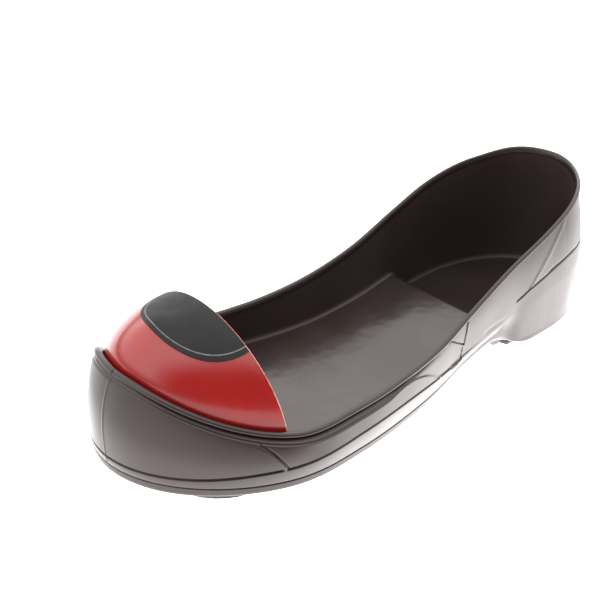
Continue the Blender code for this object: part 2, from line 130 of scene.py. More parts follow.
# Rows of the wall's mesh: heights about the middle of groove and ledge, and counts on the smooth stretches
GROOVE_ROWS = (-0.85, -0.68, -0.56, -0.3, 0.0, 0.3, 0.56, 0.68, 0.85)
LEDGE_ROWS = (-0.7, -0.5, -0.36, -0.24, -0.12, 0.0, 0.12, 0.24, 0.36, 0.6)
SIDE_ROWS = 9
PANEL_ROWS = 28
BAND_ROWS = 26
BAND_FIRST = 0.04
INNER_ROWS = 12
FILLET_ROWS = 7
FILLET_FIRST = 0.15

# The toe's mould seam: a fine ridge that bows towards the inner side, and a notch where it meets the rim
SEAM_RIDGE = 0.28
SEAM_HALF = 0.5
SEAM_SHIFT = 1.2
SEAM_BOW = 2.4
SEAM_NOTCH = 0.6
NOTCH_HALF = 0.4

# One row for each section of the last, as in the solids: heights above the floor, insets from the outline
SECTION_COLUMNS = (
    "station", "centre", "full", "rim_z", "rim_in", "ledge_z", "groove_z", "floor_z", "seam_in", "under_z",
)
SECTIONS = (
    (0, 0.0, 61.5, 74.3, 6.0, 41.5, 30.0, 17.0, 0.0, 12.5),
    (11, -0.5, 63.5, 74.0, 5.9, 41.4, 30.0, 17.0, 0.0, 12.5),
    (38, -0.7, 60.7, 69.8, 3.8, 40.6, 29.0, 17.0, 0.1, 12.5),
    (66, -0.6, 54.0, 63.0, 2.0, 38.2, 28.0, 17.0, 1.2, 12.5),
    (96, 0.6, 47.4, 54.0, 1.0, 33.6, 25.5, 17.0, 2.8, 12.5),
    (132, 3.7, 45.2, 43.1, 0.8, 32.0, 21.5, 13.4, 3.2, 9.4),
    (160, 5.0, 48.2, 36.0, 1.0, 29.5, 19.8, 9.8, 2.6, 5.4),
    (190, 4.4, 54.2, 32.0, 2.4, 27.4, 19.6, 8.6, 2.2, 4.1),
    (220, 1.9, 63.4, 30.4, 3.9, 26.1, 18.8, 8.6, 2.0, 4.0),
    (258, -0.8, 75.6, 31.3, 4.6, 27.0, 16.8, 8.6, 1.8, 4.0),
    (290, -4.4, 80.5, 41.9, 5.0, 37.5, 16.3, 9.1, 1.2, 4.4),
    (309, -4.6, 80.5, 53.6, 5.2, 49.1, 16.9, 10.6, 1.0, 5.7),
    (315, -4.6, 80.5, 58.3, 5.3, 53.8, 17.3, 11.2, 1.0, 6.6),
)
TABLE = {name: np.array([row[i] for row in SECTIONS], float) for i, name in enumerate(SECTION_COLUMNS)}

# Section of the rim from its outside over: its lip as (inset, height from the top), then its top and inside
# as (inset in shares of its thickness, height from the top)
LIP_PROFILE = (
    (0.2, -2.2), (-0.25, -1.95), (-0.46, -1.6), (-0.48, -1.2), (-0.32, -0.8), (0.0, -0.42), (0.42, -0.12),
)
TOP_PROFILE = (
    (0.28, 0.0), (0.42, 0.0), (0.56, -0.08), (0.68, -0.38), (0.8, -0.9), (0.91, -1.6), (1.0, -2.5),
)
WALL_TOP = -3.7

# The ledge at the back of its run: it turns down round the panel's tip to the groove
PANEL_TIP = (
    (161.5, 18.0), (163.0, 20.0), (166.0, 22.2), (170.0, 24.6), (176.0, 27.0), (183.0, 28.4), (192.0, 28.5),
)
PANEL_BLEND = (186.0, 204.0)

# The panel under the ledge is flat between these stations, fading in and out
PANEL_FLAT = ((150.0, 168.0), (246.0, 264.0))

# The counter line of the heel, as (station, height) on the wall from the back forwards
COUNTER_LINE = (
    (0.0, 39.0), (20.0, 39.7), (34.0, 40.5), (46.0, 40.7), (56.0, 39.8), (67.0, 38.0), (78.0, 35.8),
    (86.0, 33.8), (90.0, 32.4), (93.0, 31.6),
)

# Other moulded lines: points as (station, height), then depth (below 0 is raised), half width, whether flat
FLAT_EDGE = 0.35
SIDE_LINES = (
    (((274.0, 30.0), (269.5, 26.4), (265.5, 21.6), (262.6, 17.0)), 0.95, 0.62, False),
    (((156.0, 19.9), (148.0, 19.5), (142.8, 20.5)), 0.9, 0.6, False),
    (((142.8, 20.5), (141.7, 26.2)), 0.8, 0.55, False),
    (((140.5, 27.6), (136.6, 40.5)), 0.9, 0.6, False),
    (((152.5, 35.0), (140.5, 27.6)), 0.75, 0.5, False),
    (((90.6, 15.2), (96.0, 20.8), (103.0, 24.8), (111.0, 25.4), (120.0, 25.0)), 0.22, 1.8, False),
    (((50.5, 64.0), (82.6, 34.7)), -0.25, 1.2, True),
)
COUNTER_CUT = (0.9, 0.65, False)
COUNTER_POINTS = 40
SIDE_OVERLAP = 0.02

# Steel toe cap
CAP_REAR = 257.3
CAP_REAR_LEAN = 5.7
CAP_CROWN_Z = 76.0
CAP_CROWN_DROP = 1.5
CAP_CROWN_Y = -5.0
CAP_SPINE_SHARE = 0.42
CAP_ROUND = 1.82
CAP_STEEL = 2.0
CAP_FLANGE = 7.0
CAP_SPRING_BELOW_RIM = 3.0
CAP_ROLL = 0.5

# Blank label on the cap, along its rear edge
LABEL_HALF = 28.2
LABEL_DEPTH = 27.0
LABEL_Y = 0.6
LABEL_BACK = 0.6
LABEL_FILM = 0.3
LABEL_LIFT = 0.2

# Faces that meet at more than these angles, in degrees, keep a sharp edge
WALL_SHARP = 55.0
SOLE_SHARP = 32.0
CAP_SHARP = 40.0
LABEL_SHARP = 40.0


def smooth_step(value, low, high):
    """0 below low, 1 above high and an S between them."""
    t = np.clip((np.asarray(value, float) - low) / (high - low), 0.0, 1.0)
    return t * t * (3.0 - 2.0 * t)


def between(first, second, share):
    """The value that lies a share of the way from first to second."""
    return first + (second - first) * share


def bell(value, half):
    """1 at 0, falling off evenly to both sides over about half."""
    return np.exp(-((value / half) ** 2))


def curve_through(knots, values, spot):
    """A smooth curve through values at knots, read at any spot."""
    knots, values = np.asarray(knots, float), np.asarray(values, float)
    slopes = np.gradient(values, knots)
    spot = np.asarray(spot, float)
    k = np.clip(np.searchsorted(knots, spot) - 1, 0, len(knots) - 2)
    span = knots[k + 1] - knots[k]
    t = np.clip((spot - knots[k]) / span, 0.0, 1.0)
    return (
        (1 + 2 * t) * (1 - t) ** 2 * values[k]
        + t * (1 - t) ** 2 * span * slopes[k]
        + t * t * (3 - 2 * t) * values[k + 1]
        + t * t * (t - 1) * span * slopes[k + 1]
    )


def along(name, station):
    """A column of the section table at any station."""
    return curve_through(TABLE["station"], TABLE[name], station)


def floor_height(station):
    """The inside floor, with the step down into the heel pocket."""
    return between(HEEL_FLOOR, along("floor_z", station), smooth_step(station, *FLOOR_STEP))


def under_height(station):
    """The sole's underside between its lugs, with the heel's breast."""
    return between(HEEL_UNDER, along("under_z", station), smooth_step(station, *BREAST_STEP))


def half_width(station):
    """Half the outline's width."""
    reach = 2.0 * np.asarray(station, float) / LENGTH - 1.0
    return along("full", station) * np.sqrt(np.clip(1.0 - reach * reach, 0.0, 1.0))


def blend(pair, changes, station):
    """A size that goes from the first of a pair at the heel to the second at the toe."""
    return between(*pair, smooth_step(station, *changes))


def rim_thickness(station):
    """Width of the rim across its top: slim at the heel, broad round the toe."""
    return blend(RIM_THICK, RIM_CHANGES, station)


def heel_dip(station):
    """Depth of the dip at the heel's front."""
    middle, half, depth = HEEL_BLOCK
    return depth * bell(station - middle, half)


class Outline:
    """Points round the plan of the last, heel, left side, toe, right side, by their turn from 0 to 2 pi."""

    def __init__(self, turns):
        self.turn = np.asarray(turns, float)
        self.station = LENGTH / 2.0 * (1.0 - np.cos(self.turn))
        across = along("centre", self.station) + along("full", self.station) * np.sin(self.turn)
        self.points = np.stack([self.station, across], 1)
        tangent = np.roll(self.points, -1, 0) - np.roll(self.points, 1, 0)
        tangent /= np.linalg.norm(tangent, axis=1)[:, None]
        self.outward = np.stack([-tangent[:, 1], tangent[:, 0]], 1)
        steps = np.linalg.norm(np.diff(self.points, axis=0, append=self.points[:1]), axis=1)
        self.arc = np.concatenate([[0.0], np.cumsum(steps)[:-1]])
        self.round = steps.sum()

    def ring(self, inset, height):
        """The outline moved in by inset, at a height; both may vary round it."""
        count = len(self.turn)
        flat = self.points - self.outward * np.broadcast_to(inset, count)[:, None]
        return np.column_stack([flat, np.broadcast_to(height, count)])


FINE_POINTS = 6000
FINE = Outline(np.linspace(0.0, 2.0 * math.pi, FINE_POINTS, endpoint=False))
CENTRE_X = LENGTH / 2.0
CENTRE_Y = (FINE.points[:, 1].max() + FINE.points[:, 1].min()) / 2.0
TOE_ARC = FINE.arc[len(FINE.arc) // 2]


def spaced_outline(spacing_at):
    """An outline whose points are as far apart as spacing_at(station, arc) says."""
    density = 1.0 / spacing_at(FINE.station, FINE.arc)
    steps = np.diff(FINE.arc, append=FINE.round)
    count = np.concatenate([[0.0], np.cumsum(density * steps)])
    total = int(count[-1])
    wanted = np.arange(total) * count[-1] / total
    turns = np.append(FINE.turn, 2.0 * math.pi)
    return Outline(np.interp(wanted, count, turns))


def to_row(points):
    """Millimetres in the foot's frame to metres in the row's frame."""
    return (np.asarray(points, float) - (CENTRE_X, CENTRE_Y, 0.0)) * MM


def mesh_object(name, points, faces, materials, kinds=None, sharp=None, weld=None):
    """A smooth-shaded object from points in millimetres, faces and the number of each face's material."""
    mesh = bpy.data.meshes.new(name)
    mesh.from_pydata(to_row(points).tolist(), [], faces)
    mesh.validate()
    for material in materials:
        mesh.materials.append(material)
    if kinds is not None:
        mesh.polygons.foreach_set("material_index", kinds)
    bm = bmesh.new()
    bm.from_mesh(mesh)
    if weld is not None:
        bmesh.ops.remove_doubles(bm, verts=bm.verts, dist=weld * MM)
    bmesh.ops.recalc_face_normals(bm, faces=bm.faces)
    bm.to_mesh(mesh)
    bm.free()
    mesh.shade_smooth()
    if sharp is not None:
        mesh.set_sharp_from_angle(angle=math.radians(sharp))
    obj = bpy.data.objects.new(name, mesh)
    bpy.context.scene.collection.objects.link(obj)
    return obj


def grid_faces(rows, columns, close_rows=False, close_columns=False, first=0):
    """Quads of a grid of points stored row by row."""
    faces = []
    for r in range(rows if close_rows else rows - 1):
        low, high = first + r * columns, first + (r + 1) % rows * columns
        for c in range(columns if close_columns else columns - 1):
            right = (c + 1) % columns
            faces.append((low + c, low + right, high + right, high + c))
    return faces


def distance_to_line(arc, height, line_arc, line_height):
    """Shortest distance from each point of the wall to a line drawn on it."""
    best = np.full(np.shape(arc), np.inf)
    for a0, z0, a1, z1 in zip(line_arc, line_height, line_arc[1:], line_height[1:]):
        run, rise = a1 - a0, z1 - z0
        t = np.clip(((arc - a0) * run + (height - z0) * rise) / (run * run + rise * rise), 0.0, 1.0)
        best = np.minimum(best, np.hypot(arc - a0 - t * run, height - z0 - t * rise))
    return best


def arc_of(station, side):
    """How far round the outline a station lies on the left (+1) or the right (-1)."""
    half = len(FINE.turn) // 2
    if side > 0:
        return np.interp(station, FINE.station[: half + 1], FINE.arc[: half + 1])
    back = np.append(FINE.station[half:], 0.0)[::-1]
    return np.interp(station, back, np.append(FINE.arc[half:], FINE.round)[::-1])


def smooth_line(points, count):
    """A line of points made smooth, with more points."""
    knots = np.array(points)
    stations = np.linspace(knots[0, 0], knots[-1, 0], count)
    return tuple(zip(stations, curve_through(knots[:, 0], knots[:, 1], stations)))


WALL_LINES = SIDE_LINES + ((smooth_line(COUNTER_LINE, COUNTER_POINTS), *COUNTER_CUT),)


def line_relief(outline, height):
    """Depth of the moulded side lines at a row of the wall, cut in as positive, raised as negative."""
    cut, raised = np.zeros(len(outline.turn)), np.zeros(len(outline.turn))
    for side in (1, -1):
        on_side = np.sin(outline.turn) * side > -SIDE_OVERLAP
        for points, depth, half, flat in WALL_LINES:
            line = np.array(points)
            line_arc = arc_of(line[:, 0], side)
            away = distance_to_line(outline.arc[on_side], height[on_side], line_arc, line[:, 1])
            if flat:
                swell = depth * smooth_step(half - away, 0.0, FLAT_EDGE)
            else:
                swell = depth * np.clip(1.0 - (away / half) ** 2, 0.0, 1.0)
            cut[on_side] = np.maximum(cut[on_side], swell)
            raised[on_side] = np.minimum(raised[on_side], swell)
    return np.where(cut > 0.0, cut, raised)


def ledge_height(station):
    """Height of the ledge: under the bead along the forefoot, and down to the groove at the panel's tip."""
    tip = np.asarray(PANEL_TIP)
    back = curve_through(tip[:, 0], tip[:, 1], station)
    return between(back, along("ledge_z", station) + LEDGE_LIFT, smooth_step(station, *PANEL_BLEND))


def inner_rise(outline, twist, both_sides):
    """Height that a twist adds to the rim: up inside and down outside, or only up inside."""
    height, starts, full = twist
    towards_inner = -np.sin(outline.turn)
    if not both_sides:
        towards_inner = np.maximum(towards_inner, 0.0)
    return height * towards_inner * smooth_step(outline.station, starts, full)


def inside_rows(x, rim_in, seam_in, rim, floor, lean):
    """Insets and heights of the rows down the wall's inside, from under the rim to the floor."""
    top, foot = rim + WALL_TOP, floor + FLOOR_FILLET + FILLET_RISE
    top_in = rim_in + np.minimum(rim_thickness(x), WALL)
    foot_in = np.maximum(seam_in * FOOT_SEAM_SHARE, lean(foot)) + WALL
    fillet = FLOOR_FILLET * (1.0 - smooth_step(x, *FILLET_FADES)) + FILLET_LEAST
    for share in np.linspace(0.0, 1.0, INNER_ROWS):
        yield between(top_in, foot_in, share), between(top, foot, share)
    for turn in np.linspace(FILLET_FIRST, 1.0, FILLET_ROWS) * math.pi / 2:
        yield foot_in + fillet * (1.0 - math.cos(turn)), foot - (foot - floor) * math.sin(turn)


def upper_rings(outline):
    """Rings of the wall: up the outside with all its relief, over the rim and down the inside."""
    x = outline.station
    rim_in, thick, seam_in = along("rim_in", x), rim_thickness(x), along("seam_in", x)
    toe_rise = inner_rise(outline, TOE_TWIST, both_sides=False)
    rim = along("rim_z", x) + toe_rise + inner_rise(outline, HEEL_TWIST, both_sides=True)
    groove = along("groove_z", x) - GROOVE_DIP * smooth_step(x, *GROOVE_DIPS)
    parting = smooth_step(x, *PARTING_SHOWS)
    floor = floor_height(x) + CLOSED_GAP
    sole_top = floor + (GAP - CLOSED_GAP) * parting
    band_top = rim - RIM_LIP
    edge = ledge_height(x) + toe_rise
    forward = smooth_step(x, *LEDGE_STARTS)
    ledge_row = np.minimum(between(along("ledge_z", x), edge, forward), band_top - LEDGE_HALF)
    recess_share = smooth_step(x, *RECESS_STARTS)
    groove_share = smooth_step(x, *GROOVE_STARTS)
    for stop in GROOVE_BREAKS:
        groove_share = groove_share * (1.0 - np.exp(-(((x - stop) / BREAK_HALF) ** 4)))
    from_tip = outline.arc - TOE_ARC
    notch = SEAM_NOTCH * bell(from_tip, NOTCH_HALF)
    step_below = STEP_BELOW * smooth_step(x, *STEP_STARTS)
    power = blend(LEAN_POWER, LEAN_CHANGES, x)

    def wall_share(height):
        return np.clip((height - groove) / (rim - groove), 0.0, 1.0)

    knee = wall_share(ledge_row)
    fades_in, fades_out = PANEL_FLAT
    flat_share = smooth_step(x, *fades_in) * (1.0 - smooth_step(x, *fades_out))

    def lean(height):
        share = wall_share(height)
        curved = share**power
        flat = np.where(share < knee, knee**power * share / knee, curved)
        return rim_in * between(curved, flat, flat_share)

    def seam(height):
        share = wall_share(height)
        bow = SEAM_SHIFT * (1.0 - share) + SEAM_BOW * np.sin(math.pi * share)
        return SEAM_RIDGE * bell(from_tip - bow, SEAM_HALF)

    def recess(height):
        above = smooth_step(height - edge, -RECESS_EDGE, RECESS_EDGE)
        above = np.where(x < PANEL_TIP[0][0], 1.0, above)
        return LEDGE_DEPTH * recess_share * above * smooth_step(height - groove, 0.0, RECESS_FOOT)

    def dip(height):
        return heel_dip(x) * (1.0 - smooth_step(height, *BLOCK_FADES))

    def wall_row(height):
        return lean(height) + recess(height) + line_relief(outline, height) + dip(height) - seam(height)

    rows = []
    for share in np.linspace(0.0, 1.0, SIDE_ROWS):
        height = between(sole_top, groove - GROOVE_HALF, share)
        soften = PARTING_ROUND * parting if share == 0.0 else 0.0
        undercut = between(step_below, seam_in, (1.0 - share) ** UNDERCUT_POWER)
        relief = dip(height) + line_relief(outline, height)
        rows.append((undercut + soften + relief - seam(height), height))
    reach = GROOVE_ROWS[-1]
    for offset in GROOVE_ROWS:
        cut = GROOVE_DEPTH * groove_share * max(0.0, 1.0 - (offset / GROOVE_CUT_HALF) ** 2)
        height = groove + offset
        below = step_below * (reach - offset) / (2.0 * reach)
        rows.append((below + np.maximum(cut - seam(height), wall_row(height)), height))
    panel_foot, panel_top = groove + GROOVE_HALF, ledge_row - LEDGE_HALF
    panel = [between(panel_foot, panel_top, share) for share in np.linspace(0.0, 1.0, PANEL_ROWS)]
    ledge = [ledge_row + offset for offset in LEDGE_ROWS]
    rows += [(wall_row(height), height) for height in panel + ledge]
    to_lip = rim_in + blend(LIP_FOOT, LEDGE_STARTS, x) - wall_row(band_top)
    for share in np.linspace(BAND_FIRST, 1.0, BAND_ROWS):
        height = between(ledge_row + LEDGE_HALF, band_top, share)
        rows.append((wall_row(height) + to_lip * share ** (2.0 - forward), height))
    rows += [(rim_in + inset + notch, rim + drop) for inset, drop in LIP_PROFILE]
    rows += [(rim_in + share * thick + notch * (1.0 - share), rim + drop) for share, drop in TOP_PROFILE]
    rows += inside_rows(x, rim_in, seam_in, rim, floor, lean)
    return [outline.ring(inset, height) for inset, height in rows]


# Distance of the wall's columns: usual, at the toe's seam, and at fine relief as (from, to, distance); how
# much coarser they are on the inner side, and the lengths over which they change
WALL_SPACING = 1.9
SEAM_SPACING = 0.3
FINE_STRETCHES = ((134.0, 166.0, 0.42), (166.0, 196.0, 0.8), (258.0, 281.0, 0.42), (78.0, 94.0, 0.9))
INNER_COARSER = 1.6
STRETCH_FADE = 4.0
SEAM_FADES = (3.0, 8.0)


def wall_spacing(station, arc):
    """Columns of the wall are closest where its side lines and the toe's mould seam are."""
    spacing = np.full(len(station), WALL_SPACING)
    coarser = np.where(arc < TOE_ARC, 1.0, INNER_COARSER)
    for low, high, fine in FINE_STRETCHES:
        starts = smooth_step(station, low - STRETCH_FADE, low)
        ends = smooth_step(station, high, high + STRETCH_FADE)
        spacing = between(spacing, fine * coarser, starts * (1.0 - ends))
    near_seam = 1.0 - smooth_step(np.abs(arc - TOE_ARC - SEAM_BOW / 2.0), *SEAM_FADES)
    return between(spacing, SEAM_SPACING, near_seam)


def make_upper(outside, lining):
    """The wall as one closed skin, with its inside in a finish of its own, duller and painted paler as
    painted light.
    """
    outline = spaced_outline(wall_spacing)
    rings = upper_rings(outline)
    columns = len(outline.turn)
    faces = grid_faces(len(rings), columns, close_rows=True, close_columns=True)
    first_inner = (len(rings) - INNER_ROWS - FILLET_ROWS) * columns
    kinds = [1 if face >= first_inner else 0 for face in range(len(faces))]
    return mesh_object("upper_wall", np.concatenate(rings), faces, [outside, lining], kinds, WALL_SHARP)


# Tread, as in the solids, with bevelled lugs and raised dots
# A run of chevrons is (first station, pitch, count, inset, depth), a pad (straight edge, tip, shift, notch)
CHEVRON_RUNS = (
    (178.0, 13.0, 7, 9.5, 21.0),
    (35.0, 12.5, 5, 6.5, 14.0),
)
CHEVRON_TIP = 3.2
CHEVRON_FOOT = (2.7, 8.1)
CHEVRON_NOTCH = 0.7
TOE_PAD = (268.5, 300.0, -3.0, 8.0)
HEEL_PAD = (24.0, 7.5, 0.0, -4.0)
PAD_INSET = 8.0
PAD_STEPS = 10
PAD_FULLNESS = 0.85
PAD_TEETH = ((0.0, -0.35), (1.0, -0.15), (0.5, 0.0), (1.0, 0.15), (0.0, 0.35))
MIDDLE_BAR = 5.0
FOREFOOT_MIDDLE = (218.0, 2.0)
FOREFOOT_BARS = (
    ((-8.0, 17.0), (-25.0, 0.0), (-10.0, -15.0), (-1.0, -6.0), (-9.0, 2.0)),
    ((8.0, -17.0), (25.0, 0.0), (10.0, 15.0), (1.0, 6.0), (9.0, -2.0)),
    ((24.0, 17.0), (38.0, 3.0), (31.0, -4.0)),
    ((-26.0, -13.0), (-36.0, -3.0), (-29.0, 4.0)),
)
HEEL_MIDDLE = (57.0, -0.5)
HEEL_BARS = (
    ((19.0, -13.0), (6.0, 0.0), (19.0, 13.0)),
    ((5.0, -13.0), (-8.0, 0.0), (5.0, 13.0)),
    ((-9.0, -13.0), (-22.0, 0.0), (-9.0, 13.0)),
)
LUG_DEPTH = 4.0
LUG_ROOT = 1.2
LUG_BEVEL = 0.5
DOT_PITCH = 2.1
DOT_RADIUS = 0.72
DOT_HEIGHT = 0.4
DOT_SIDES = 6
DOT_TIP = 0.55
DOT_SINK = 0.15
DOT_MARGIN = 0.9

# Sharp corners of a lug are stretched no further than this allows
MITRE_LEAST = 0.35
SHRINK_LEAST = 0.4

# Mesh of the sole's plate: strips along it, at the breast as (from, to, distance), spans across it, rows
# down its side in shares of its depth, the rounding below, and the step in from the heel's rail
SOLE_STRIPS = 150
BREAST_STRIPS = (72.0, 114.0, 1.0)
SOLE_SPANS = 24
SIDE_DROPS = (0.05, 0.12, 0.22, 0.34, 0.46)
EDGE_ROUND = 3.2
ROUND_ROWS = 10
ROUND_FIRST = 0.12
ROUND_SHARE = 0.54
RAIL_STEP = 0.9

# Faces this near the inside floor that face up at least this much take the floor's finish
FLOOR_NEAR = 0.3
FLOOR_FACING = 0.2


def edge_point(station, side, inset):
    """A point on the sole's lower edge, moved in by inset, on the left (+1) or right (-1)."""
    reach = float(half_width(station)) - inset
    return Vector((station, float(along("centre", station)) + side * reach))


def thick_line(points, width):
    """The outline of a bar of constant width along a line of points in plan, with mitred corners."""
    path = [Vector(p) for p in points]
    left, right = [], []
    for i, spot in enumerate(path):
        before = (spot - path[i - 1]).normalized() if i else None
        after = (path[i + 1] - spot).normalized() if i < len(path) - 1 else None
        heading = ((before or after) + (after or before)).normalized()
        side = Vector((-heading.y, heading.x))
        run = after or before
        stretch = 1.0 / max(MITRE_LEAST, abs(side.dot(Vector((-run.y, run.x)))))
        left.append(spot + side * width / 2 * stretch)
        right.append(spot - side * width / 2 * stretch)
    return left + right[::-1]


def chevron_outlines(run, side):
    """Outlines of one run of chevrons along one edge, from its rear end forwards."""
    first, pitch, count, inset, depth = run
    foot_in, foot_out = CHEVRON_FOOT
    for i in range(count):
        tip, feet = inset, inset + depth
        if i % 2:
            tip, feet = feet, tip
        notch = between(feet, tip, CHEVRON_NOTCH)
        right = [(CHEVRON_TIP, tip), (foot_out, feet), (foot_in, feet)]
        left = [(-dx, inwards) for dx, inwards in reversed(right)]
        corners = right + [(0.0, notch)] + left
        yield [edge_point(first + pitch * i + dx, side, inwards) for dx, inwards in corners]


def pad_outline(pad):
    """A half-round pad: round its tip from left to right, then back along its notched straight edge."""
    straight, tip, shift, notch = pad
    middle = float(along("centre", straight)) + shift
    reach = float(half_width(straight)) - PAD_INSET
    left = []
    for k in range(PAD_STEPS):
        turn = math.pi / 2 * k / PAD_STEPS
        across = middle + reach * math.cos(turn) ** PAD_FULLNESS
        left.append(Vector((between(straight, tip, math.sin(turn)), across)))
    right = [Vector((p.x, 2.0 * middle - p.y)) for p in reversed(left)]
    rear = [Vector((straight + notch * dx, middle + dy * reach)) for dx, dy in PAD_TEETH]
    return left + [Vector((tip, middle))] + right + rear


def lug_outlines():
    """Outlines of all the lugs in plan."""
    for side in (1, -1):
        for run in CHEVRON_RUNS:
            yield from chevron_outlines(run, side)
    for pad in (TOE_PAD, HEEL_PAD):
        yield pad_outline(pad)
    for middle, bars in ((FOREFOOT_MIDDLE, FOREFOOT_BARS), (HEEL_MIDDLE, HEEL_BARS)):
        for bar in bars:
            line = [(middle[0] + forward, middle[1] + across) for forward, across in bar]
            yield thick_line(line, MIDDLE_BAR)


def lug_foot(station):
    """Height of a lug's own face: the dots on it reach the floor."""
    return max(0.0, float(under_height(station)) - LUG_DEPTH) + DOT_HEIGHT


def shrunk(outline, inset):
    """A plan outline moved in by inset."""
    area = sum(a.x * b.y - b.x * a.y for a, b in zip(outline, outline[1:] + outline[:1]))
    sign = 1.0 if area > 0 else -1.0
    moved = []
    for i, spot in enumerate(outline):
        before = (spot - outline[i - 1]).normalized()
        after = (outline[(i + 1) % len(outline)] - spot).normalized()
        normal = Vector((-(before.y + after.y), before.x + after.x)).normalized() * sign
        straight = Vector((-after.y, after.x)) * sign
        moved.append(spot + normal * inset / max(SHRINK_LEAST, normal.dot(straight)))
    return moved


def add_prism(points, faces, levels):
    """Adds a closed prism through levels of points."""
    first, count = len(points), len(levels[0])
    for level in levels:
        points += level
    faces.append(tuple(range(first, first + count)))
    faces.append(tuple(reversed(range(len(points) - count, len(points)))))
    faces += grid_faces(len(levels), count, close_columns=True, first=first)


def lug_mesh():
    """Points and faces of all the lugs: prisms with a bevelled foot."""
    points, faces = [], []
    for outline in lug_outlines():
        root = [(p.x, p.y, float(under_height(p.x)) + LUG_ROOT) for p in outline]
        bevel = [(p.x, p.y, lug_foot(p.x) + LUG_BEVEL) for p in outline]
        foot = [(q.x, q.y, lug_foot(p.x)) for p, q in zip(outline, shrunk(outline, LUG_BEVEL))]
        add_prism(points, faces, (root, bevel, foot))
    return points, faces


def inside_plan(x, y, outline):
    """Whether a point lies inside a plan outline."""
    hit = False
    for a, b in zip(outline, outline[1:] + outline[:1]):
        if (a.y > y) != (b.y > y) and x < (b.x - a.x) * (y - a.y) / (b.y - a.y) + a.x:
            hit = not hit
    return hit


def dot_centres(outline):
    """Centres of the raised dots on one lug, in staggered rows."""
    face = shrunk(outline, LUG_BEVEL + DOT_RADIUS * DOT_MARGIN)
    low_x, high_x = min(p.x for p in face), max(p.x for p in face)
    low_y, high_y = min(p.y for p in face), max(p.y for p in face)
    y = math.ceil(low_y / DOT_PITCH) * DOT_PITCH
    while y < high_y:
        odd_row = round(y / DOT_PITCH) % 2
        x = math.ceil(low_x / DOT_PITCH) * DOT_PITCH + (DOT_PITCH / 2 if odd_row else 0.0)
        while x < high_x:
            if inside_plan(x, y, face):
                yield x, y
            x += DOT_PITCH
        y += DOT_PITCH


def tread_dots():
    """Points and faces of all the raised dots: low domes that end at the tread's own surface."""
    points, faces = [], []
    turns = [2.0 * math.pi * k / DOT_SIDES for k in range(DOT_SIDES)]
    ring = [(math.cos(turn), math.sin(turn)) for turn in turns]
    for outline in lug_outlines():
        for x, y in dot_centres(outline):
            base = lug_foot(x)
            sizes = (DOT_RADIUS, base + DOT_SINK), (DOT_RADIUS * DOT_TIP, base - DOT_HEIGHT)
            levels = [[(x + radius * c, y + radius * s, z) for c, s in ring] for radius, z in sizes]
            add_prism(points, faces, levels)
    return points, faces


def sole_stations():
    """Stations of the sole's strips: close at heel, toe and breast."""
    even = LENGTH / 2.0 * (1.0 - np.cos(np.linspace(0.0, math.pi, SOLE_STRIPS)))
    low, high, step = BREAST_STRIPS
    return np.concatenate([even[even < low - step / 2.0], np.arange(low, high, step), even[even > high]])


def sole_plate():
    """Points and faces of the bent plate: rounded side, floor above and underside below."""
    stations = sole_stations()
    turns = np.arccos(1.0 - 2.0 * stations / LENGTH)
    outline = Outline(np.concatenate([turns, 2.0 * math.pi - turns[-2:0:-1]]))
    x = outline.station
    seam_in, floor, under = along("seam_in", x), floor_height(x), under_height(x)
    parting, forward = smooth_step(x, *PARTING_SHOWS), smooth_step(x, *EDGE_STEP)
    edge = between(RAIL_FOOT, along("under_z", x), forward)
    round_in = between(RAIL_ROUND, EDGE_ROUND, forward)
    depth = floor - edge
    side_in = seam_in + heel_dip(x)
    rings = [outline.ring(side_in + PARTING_ROUND * parting, floor)]
    for drop in SIDE_DROPS:
        rings.append(outline.ring(side_in, floor - depth * drop))
    for turn in np.linspace(ROUND_FIRST, 1.0, ROUND_ROWS) * math.pi / 2:
        inset = round_in * (1.0 - math.cos(turn))
        rings.append(outline.ring(side_in + inset, edge + depth * ROUND_SHARE * (1.0 - math.sin(turn))))
    rings.append(outline.ring(side_in + RAIL_WIDTH, edge))
    rings.append(outline.ring(side_in + RAIL_WIDTH + RAIL_STEP, under))
    points = [tuple(p) for ring in rings for p in ring]
    count = len(x)
    faces = grid_faces(len(rings), count, close_columns=True)
    last = len(stations) - 1
    for first, heights in ((0, floor), ((len(rings) - 1) * count, under)):
        strips = []
        for i in range(1, last):
            ends = (first + i, first + count - i)
            left, right = (np.array(points[end][:2]) for end in ends)
            inner = range(len(points), len(points) + SOLE_SPANS - 1)
            points += [(*between(left, right, k / SOLE_SPANS), heights[i]) for k in range(1, SOLE_SPANS)]
            strips.append([ends[0], *inner, ends[1]])
        for near, far in zip(strips, strips[1:]):
            faces += [(near[k], near[k + 1], far[k + 1], far[k]) for k in range(SOLE_SPANS)]
        for tip, strip in ((first, strips[0]), (first + last, strips[-1])):
            faces += [(tip, strip[k], strip[k + 1]) for k in range(SOLE_SPANS)]
    return points, faces


def union(base, other):
    """Joins another closed mesh onto base and removes it."""
    modifier = base.modifiers.new("join_" + other.name, "BOOLEAN")
    modifier.operation = "UNION"
    modifier.solver = "EXACT"
    modifier.object = other
    bpy.context.view_layer.update()
    joined = bpy.data.meshes.new_from_object(base.evaluated_get(bpy.context.evaluated_depsgraph_get()))
    base.modifiers.clear()
    base.data = joined
    bpy.data.objects.remove(other)


